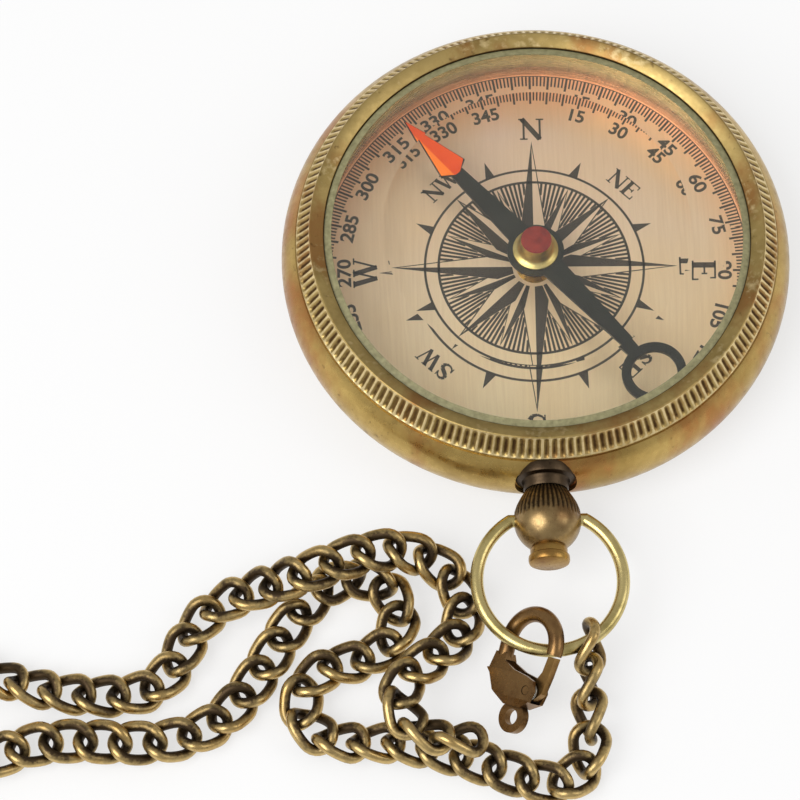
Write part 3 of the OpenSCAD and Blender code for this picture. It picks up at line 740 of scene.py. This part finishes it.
chain_brass = old_metal("chain_brass", "d8bc80", "a5854f", "4b3d2c", rough=(0.22, 0.38),
                        patch=3 * mm, toned_from=0.5, worn_and_shaded="wear_and_shade", sway=0.3,
                        wear=(0.35, 1.0))
for node, stretch in frame["nodes"].items():
    if not node.startswith("chain_"):
        continue
    packed = stretch.data
    corners = np.zeros(len(packed.vertices) * 3)
    packed.vertices.foreach_get("co", corners)
    loops = np.zeros(len(packed.loops), int)
    packed.loops.foreach_get("vertex_index", loops)
    links = corners.reshape(-1, 3)[loops].reshape(-1, faces_in_link * 3, 3)
    points, faces, wear_and_shade = [], [], []
    for link in links:
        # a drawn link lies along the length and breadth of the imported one
        middle = link.mean(0)
        _, axes = np.linalg.eigh(np.cov((link - middle).T))
        length, breadth = axes[:, 2], axes[:, 1]
        turned_to = np.stack([length, breadth, np.cross(length, breadth)])
        faces += [tuple(len(points) + v for v in f) for f in link_faces]
        points += [tuple(v) for v in link_points * mm @ turned_to + middle]
        wear_and_shade += link_rubbed
    name = node + "_links"
    finish_piece(rubbed_mesh(name, points, faces, wear_and_shade), name, chain_brass,
                 stretch["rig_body"], [node], crease=80)

# -------------------------------------------------------------------- clasp
# A cast lobster clasp in toned bronze, its gate a stamped lever on a riveted
# pin with a small coil spring.
clasp_bronze = old_metal("clasp_bronze", "94734a", "66492e", "2c2219", rough=(0.22, 0.4),
                         patch=3 * mm, toned_from=0.45, hollow=1.2 * mm)
for node in ("clasp_body", "clasp_pin"):
    dress(node, clasp_bronze)
dress("clasp_lever", old_metal("lever_bronze", "a8844e", "7a5a36", "3a2c1c",
                               rough=(0.26, 0.42), patch=3 * mm, hollow=0.8 * mm))
dress("clasp_spring", old_metal("spring_steel", "b8b4aa", "8a867c", "4a463e",
                                rough=(0.2, 0.35)))

# -------------------------------------------------------- table and lighting
# The object lies on a plain white table under a broad soft box at the left, with
# a weaker one at the right. The paper glows a little where it is looked at, so
# that it stays white.
table_half = 3
paper_glow = 0.65
room_light = 0.5
floor_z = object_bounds()[0].z
table_mesh = bpy.data.meshes.new("table_top")
table_mesh.from_pydata([(x * table_half, y * table_half, floor_z)
                        for x, y in ((-1, -1), (1, -1), (1, 1), (-1, 1))], [], [(0, 1, 2, 3)])
table_top = bpy.data.objects.new("table_top", table_mesh)
bpy.context.scene.collection.objects.link(table_top)
paper, surface = blank("white_paper")
sheet = lay(paper, "BsdfPrincipled", {"Base Color": (0.95, 0.95, 0.95, 1), "Roughness": 0.9,
                                      "Specular IOR Level": 0.1})
glow = lay(paper, "Emission", {"Color": (1, 1, 1, 1), "Strength": 1})
path = lay(paper, "LightPath").outputs
seen = path["Is Camera Ray"]
for ray in ("Is Glossy Ray", "Is Transmission Ray"):
    seen = reckon(paper, "MAXIMUM", seen, path[ray])
lit = lay(paper, "MixShader", {0: reckon(paper, "MULTIPLY", seen, paper_glow),
                               1: sheet.outputs["BSDF"], 2: glow.outputs["Emission"]})
paper.node_tree.links.new(lit.outputs["Shader"], surface)
table_mesh.materials.append(paper)

world = bpy.data.worlds.new("studio")
bpy.context.scene.world = world
world.use_nodes = True
room = world.node_tree.nodes["Background"].inputs
room["Color"].default_value = (1, 1, 1, 1)
room["Strength"].default_value = room_light


def soft_box(name, place, size, watts, aim=(-0.01, -0.01, 0)):
    """A flat lamp with a white cloth over it, turned towards the object."""
    light = bpy.data.lights.new(name, "AREA")
    light.shape, light.size, light.size_y, light.energy = "RECTANGLE", *size, watts
    box = bpy.data.objects.new(name, light)
    bpy.context.scene.collection.objects.link(box)
    box.location = place
    box.rotation_euler = (Vector(aim) - Vector(place)).to_track_quat("-Z", "Y").to_euler()


soft_box("key", (-0.38, -0.26, 0.52), (0.5, 0.5), 3.0)
soft_box("fill", (0.5, -0.1, 0.4), (0.3, 0.4), 0.6)

# The camera looks down on the dial from the south, at the photograph's angle.
camera_at = Vector((-13.99, -133.75, 267.93)) * mm
lens = bpy.data.cameras.new("camera")
lens.lens, lens.sensor_width = 134.7, 36
lens.clip_start, lens.clip_end = 0.01, 10
camera = bpy.data.objects.new("camera", lens)
bpy.context.scene.collection.objects.link(camera)
right, up = Vector((0.9997, -0.0215, -0.0084)).normalized(), Vector((0.023, 0.9117, 0.4102))
back = right.cross(up).normalized()
up = back.cross(right)
camera.matrix_world = (Matrix.Translation(camera_at)
                       @ Matrix((right, up, back)).transposed().to_4x4())
bpy.context.scene.camera = camera
bpy.context.scene.view_settings.view_transform = "Standard"
